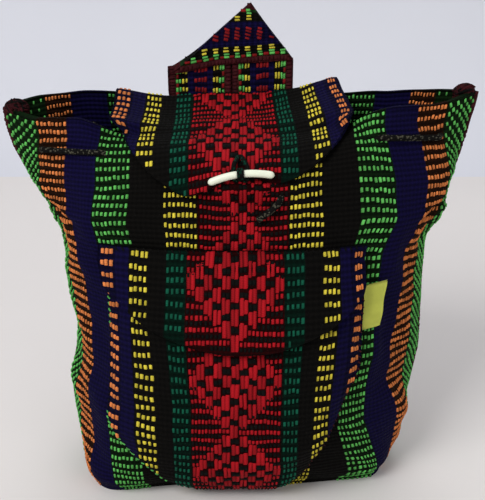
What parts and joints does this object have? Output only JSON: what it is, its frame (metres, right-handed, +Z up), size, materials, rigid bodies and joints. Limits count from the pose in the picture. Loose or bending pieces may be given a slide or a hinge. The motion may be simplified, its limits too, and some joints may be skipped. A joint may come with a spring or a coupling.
{
  "type": "backpack",
  "caption": "Handwoven striped cloth backpack with a tongue flap over the mouth, toggle and loop, drawstring, front pocket with its own flap, and webbing shoulder straps folded to a point.",
  "frame": {"origin": "on the floor under the middle of the bag's base, midway between its side seams and between its front and back panels", "axes": "+Z up, -Y towards the front with the pocket, +Y towards the back with the shoulder straps, +X towards the side with the label"},
  "size_m": [0.3756, 0.2715, 0.4073],
  "materials": {
    "bag_cloth": "handwoven cotton with raised striped float yarns on a dark ribbed ground",
    "accent_cloth": "handwoven cotton with a red brick pattern and narrow stripes on black",
    "webbing": "thick handwoven patterned band",
    "cord": "dark speckled braided cord",
    "toggle": "smooth off-white rod",
    "label": "bare woven strip"
  },
  "bodies": {
    "root": {"bag_body": "bag_cloth", "main_flap": "accent_cloth", "front_pocket": "accent_cloth", "pocket_flap": "accent_cloth", "shoulder_strap": "webbing", "drawstring": "cord", "toggle": "toggle", "toggle_tie": "cord", "toggle_loop": "cord", "side_label": "label"}
  },
  "joints": []
}
